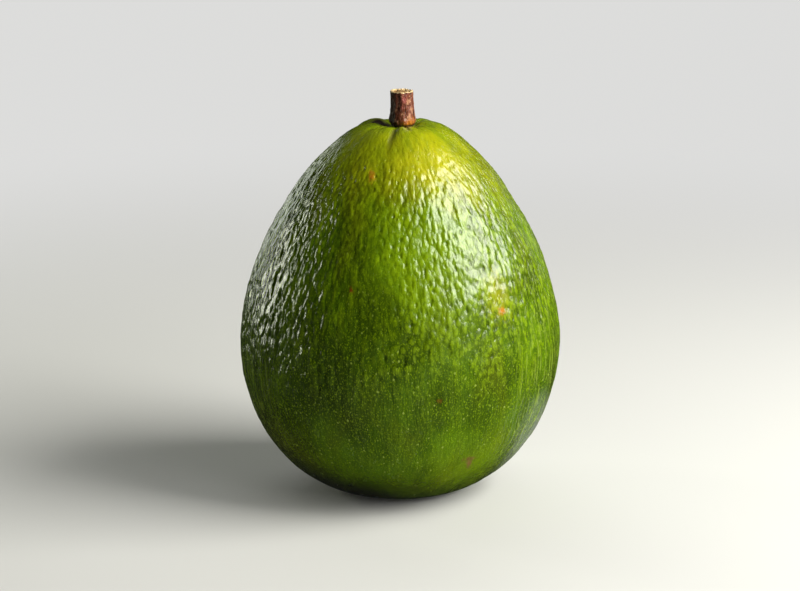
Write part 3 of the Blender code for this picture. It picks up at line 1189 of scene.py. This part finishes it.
def bark_height(tree):
    """The whole relief of the stub, in metres."""
    address = stored_address(tree, "stem_address")
    coarse = product(tree, wrinkles(tree, address), WRINKLE_RELIEF)
    fine = product(tree, flakes(tree, address), BARK_RELIEF)
    return total(tree, coarse, fine, -BARK_SHRINKAGE)


relief_modifier(stub, "bark_relief", bark_height)
print("the stub has", len(stub.data.polygons), "faces")

# %% [markdown]
# ## Bark and cut wood
#
# One material holds both: the bark's browns up the side, and pale wood past the rim, where the distance along
# the outline says that the cut end has begun. The bark comes first, with dark furrows, pale scars and grey
# weathered lines, and its left side is painted darker, a painted shade of the side away from the key light.

# %% Bark
BARK_DARK = (0.018, 0.006, 0.003, 1.0)
BARK_RED = (0.17, 0.045, 0.022, 1.0)
BARK_PALE = (0.48, 0.24, 0.13, 1.0)
BARK_GREY = (0.20, 0.16, 0.14, 1.0)

stem_material, tree, shader = new_material("bark_and_wood")
address = shader_address(tree, "stem_address")
position = add_node(tree, "ShaderNodeTexCoord").outputs["Object"]
furrows = wrinkles(tree, address)
rough = flakes(tree, address)
bark = mixed(tree, rise(tree, furrows, -0.95, 0.0, 0.15, 1.0), BARK_DARK, BARK_RED)
scars = noise(tree, address, size=1.1, stretch=1.3, detail=3.0, roughness=0.6, seed=54.0)
bark = mixed(tree, rise(tree, scars, 0.55, 0.68, 0.0, 0.85), bark, BARK_PALE)
bark = mixed(tree, rise(tree, rough, -0.2, -1.0, 0.0, 0.5), bark, BARK_DARK)
side = add_node(tree, "ShaderNodeSeparateXYZ", {0: position}).outputs["X"]
# Painted shade: the bark's left side, away from the key light, is darker.
shadow_side = rise(tree, total(tree, side, product(tree, scars, 0.0016)), 0.0012, -0.0010, 0.0, 0.92)
bark = mixed(tree, shadow_side, bark, BARK_DARK)
weathering = noise(tree, address, size=0.22, stretch=5.0, detail=2.0, seed=56.0)
bark = mixed(tree, rise(tree, weathering, 0.60, 0.72, 0.0, 0.45), bark, BARK_GREY)
print("the bark alone takes", len(tree.nodes), "nodes")

# %% [markdown]
# ### Scars and the foot
#
# Pale scars and pinkish patches mark the front of the bark, the pink partly the bark's colour and partly a
# painted highlight where the key light falls, and the foot is orange where it grows out of the skin. They are
# ragged spots, as on the skin. A dark line follows the very bottom, a painted shade in the crevice where the stem
# meets the skin.

# %% Scars and foot
PINK_BARK_AND_SHEEN = (0.34, 0.085, 0.075, 1.0)
FOOT_ORANGE = (0.46, 0.15, 0.008, 1.0)
FOOT_SHADE_LINE = (86.75, 86.25)
BARK_MARKS = [
    ((2.2, -3.7, 86.7), (2.9, 2.8, 2.3), FOOT_ORANGE, 0.95),
    # The pink patches are partly the bark's colour and partly a painted highlight.
    ((0.9, -4.4, 92.4), (1.0, 1.6, 1.5), PINK_BARK_AND_SHEEN, 0.75),
    ((0.4, -4.4, 90.6), (0.7, 1.6, 1.1), PINK_BARK_AND_SHEEN, 0.45),
    ((2.0, -3.9, 92.0), (0.7, 1.4, 0.8), BARK_PALE, 0.9),
    ((2.7, -3.4, 90.0), (0.8, 1.4, 0.7), BARK_PALE, 0.8),
    ((2.2, -4.0, 88.6), (0.6, 1.2, 0.7), BARK_PALE, 0.9),
    ((-1.6, 1.5, 90.5), (1.2, 1.4, 1.8), BARK_PALE, 0.7),
    ((2.6, 0.8, 88.5), (1.1, 1.2, 1.2), FOOT_ORANGE, 0.7),
]
bark_noise = noise(tree, address, size=0.5, stretch=1.6, detail=3.0, roughness=0.65, seed=57.0)
bark_ragged = maths(tree, "MULTIPLY_ADD", bark_noise, 1.4, -0.7)
bark = with_spots(tree, bark, position, BARK_MARKS, bark_ragged)
# Painted shade: a dark line round the very bottom of the stem, in the crevice.
bark = mixed(tree, product(tree, rise(tree, height_in_mm(tree, position), *FOOT_SHADE_LINE), 0.9), bark, BARK_DARK)
print(len(BARK_MARKS), "marks on the bark")

# %% [markdown]
# ### The cut end
#
# Past the rim the wood is pale, and it darkens towards the middle, where it has dried hollow. The border with the
# bark is ragged, because the knife tears a few fibres. Bark is much duller than wax, most of all in its shadow.

# %% Cut end and finish
WOOD_PALE = (0.74, 0.54, 0.28, 1.0)
WOOD_DARK = (0.26, 0.14, 0.05, 1.0)
WRINKLE_BUMP = 0.05
FLAKE_BUMP = 0.018

along = add_node(tree, "ShaderNodeSeparateXYZ", {0: address}).outputs["Z"]
ragged_along = maths(tree, "MULTIPLY_ADD", scars, 0.7, maths(tree, "SUBTRACT", along, 0.35))
rim = side_length / MM
wood = mixed(tree, rise(tree, along, rim + 0.45, rim + 0.9), WOOD_PALE, WOOD_DARK)
wood = mixed(tree, rise(tree, rough, 0.0, 0.9, 0.0, 0.5), wood, WOOD_PALE)
bark = mixed(tree, rise(tree, ragged_along, rim - 0.42, rim - 0.22), bark, wood)
tree.links.new(bark, shader.inputs["Base Color"])

roughness = maths(tree, "MAXIMUM", rise(tree, rough, -1.0, 1.0, 0.26, 0.42), product(tree, shadow_side, 0.7))
tree.links.new(roughness, shader.inputs["Roughness"])
tree.links.new(rise(tree, shadow_side, 0.0, 0.9, 0.5, 0.12), shader.inputs["Specular IOR Level"])
bark_bump = total(tree, product(tree, furrows, WRINKLE_BUMP), product(tree, rough, FLAKE_BUMP))
bump = add_node(tree, "ShaderNodeBump", {"Height": bark_bump, "Distance": MM, "Strength": 1.0})
tree.links.new(bump.outputs["Normal"], shader.inputs["Normal"])
stub.data.materials.clear()
stub.data.materials.append(stem_material)
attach(stub, "root")
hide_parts("stem")
print("the stem's material has", len(tree.nodes), "nodes")

# %% [markdown]
# ## Finish
#

# %% Finish
scene = bpy.context.scene
scene.view_settings.view_transform = "Standard"
